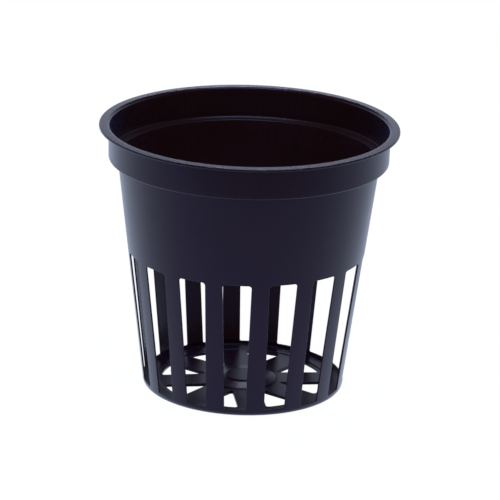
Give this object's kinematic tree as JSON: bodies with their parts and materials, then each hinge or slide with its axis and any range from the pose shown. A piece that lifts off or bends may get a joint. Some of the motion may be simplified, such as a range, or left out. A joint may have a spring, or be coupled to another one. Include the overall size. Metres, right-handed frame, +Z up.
{
  "type": "net pot",
  "caption": "Tapered round net pot with a flanged rim, a stepped collar, a slotted wall of staves and a spoked floor, for holding seedlings in hydroponics.",
  "frame": {"origin": "on the pot's axis, on the ground that the pot stands on", "axes": "+Z up the axis towards the mouth; a stave and a spoke lie on -Y"},
  "size_m": [0.08, 0.08, 0.0725],
  "materials": {
    "pot_plastic": "satin moulded polypropylene, near-black"
  },
  "bodies": {
    "root": {"rim": "pot_plastic", "collar": "pot_plastic", "ledge": "pot_plastic", "wall_band": "pot_plastic", "stave_01": "pot_plastic", "stave_02": "pot_plastic", "stave_03": "pot_plastic", "stave_04": "pot_plastic", "stave_05": "pot_plastic", "stave_06": "pot_plastic", "stave_07": "pot_plastic", "stave_08": "pot_plastic", "stave_09": "pot_plastic", "stave_10": "pot_plastic", "stave_11": "pot_plastic", "stave_12": "pot_plastic", "stave_13": "pot_plastic", "stave_14": "pot_plastic", "stave_15": "pot_plastic", "stave_16": "pot_plastic", "base": "pot_plastic"}
  },
  "joints": []
}
